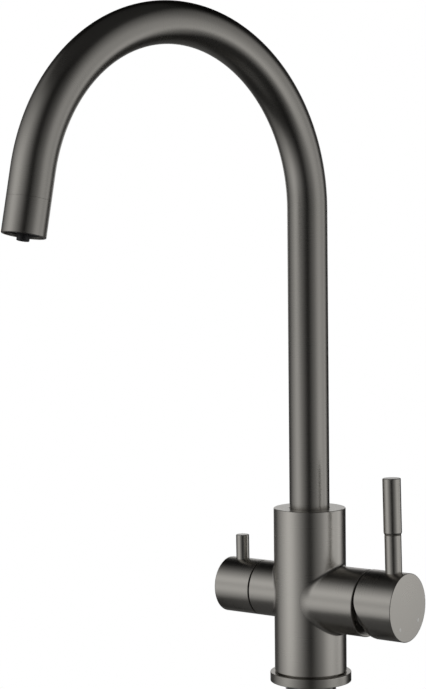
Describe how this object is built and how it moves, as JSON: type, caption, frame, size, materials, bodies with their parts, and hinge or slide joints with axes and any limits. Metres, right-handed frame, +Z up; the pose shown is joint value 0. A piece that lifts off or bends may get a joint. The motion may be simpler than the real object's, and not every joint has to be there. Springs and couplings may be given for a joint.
{
  "type": "three-way kitchen mixer tap",
  "caption": "Tall swan-neck kitchen mixer tap with a side lever for mixed water, a knob for filtered water, a swivel spout and a threaded shank with its clamp set.",
  "frame": {"origin": "the column's axis at the worktop, on the underside of the base ring", "axes": "+Z up along the column; -Y to the front, the way that the spout points before it is swung; +X to the mixer lever; -X to the filter knob"},
  "size_m": [0.133, 0.254, 0.465],
  "materials": {
    "gunmetal": "satin gunmetal",
    "raw_brass": "machined",
    "steel": "plain",
    "seal_rubber": "matt",
    "cartridge_plastic": "moulded",
    "bush_plastic": "moulded",
    "inner_tube_plastic": "extruded",
    "aerator_plastic": "moulded",
    "disc_ceramic": "lapped ceramic",
    "dot_enamel": "enamel"
  },
  "bodies": {
    "root": {"tap_body": "gunmetal", "base_ring": "gunmetal", "base_seal": "seal_rubber", "mounting_shank": "steel", "rubber_washer": "seal_rubber", "steel_washer": "steel", "back_nut": "raw_brass", "spout_keeper_screw": "steel", "filtered_spigot": "raw_brass", "spigot_o_ring": "seal_rubber", "cartridge_base": "cartridge_plastic", "cartridge_port_seals": "seal_rubber", "cartridge_fixed_disc": "disc_ceramic", "cartridge_body": "cartridge_plastic", "cartridge_nut": "gunmetal", "cartridge_shroud": "gunmetal", "filter_valve_body": "raw_brass", "filter_valve_o_ring": "seal_rubber", "filter_seat_seal": "seal_rubber", "filter_fixed_disc": "disc_ceramic"},
    "spout": {"spout_tube": "gunmetal", "swivel_insert": "raw_brass", "swivel_o_rings": "seal_rubber", "swivel_bushes": "bush_plastic", "filtered_tube": "inner_tube_plastic", "filtered_ferrule": "raw_brass", "outlet_collar": "gunmetal", "aerator_insert": "aerator_plastic", "aerator_screen": "aerator_plastic", "aerator_seal": "seal_rubber", "filtered_nozzle": "aerator_plastic"},
    "mixer_carrier": {"mixer_carrier": "bush_plastic", "pivot_pin": "steel"},
    "mixer_disc": {"disc_driver": "cartridge_plastic", "moving_disc": "disc_ceramic"},
    "mixer_handle": {"cartridge_stem": "steel", "mixer_hub": "gunmetal", "lever_rod": "gunmetal", "lever_grip": "gunmetal", "handle_grub_screw": "steel", "warm_cold_dots": "dot_enamel"},
    "filter_handle": {"filter_knob": "gunmetal", "filter_pin": "gunmetal", "filter_spindle": "raw_brass", "spindle_o_ring": "seal_rubber", "filter_moving_disc": "disc_ceramic", "knob_grub_screw": "steel"}
  },
  "joints": [
    {"name": "spout_swivel", "type": "hinge", "parent": "root", "child": "spout", "pos_m": [0, 0, 0.0925], "axis": [0, 0, 1], "continuous": true},
    {"name": "mixer_turn", "type": "hinge", "parent": "root", "child": "mixer_carrier", "pos_m": [0.0334, 0, 0.0531], "axis": [1, 0, 0], "range_deg": [-45, 45]},
    {"name": "mixer_lift", "type": "hinge", "parent": "mixer_carrier", "child": "mixer_handle", "pos_m": [0.0334, 0, 0.0531], "axis": [0, 1, 0], "range_deg": [0, 25]},
    {"name": "mixer_disc_slide", "type": "slide", "parent": "mixer_carrier", "child": "mixer_disc", "axis": [0, 0, 1], "range_m": [0, 0.004]},
    {"name": "filter_turn", "type": "hinge", "parent": "root", "child": "filter_handle", "pos_m": [-0.0516, 0, 0.0551], "axis": [1, 0, 0], "range_deg": [0, 90]}
  ],
  "couplings": [
    {"joint": "mixer_disc_slide", "follows": "mixer_lift", "m_per_rad": 0.009}
  ]
}
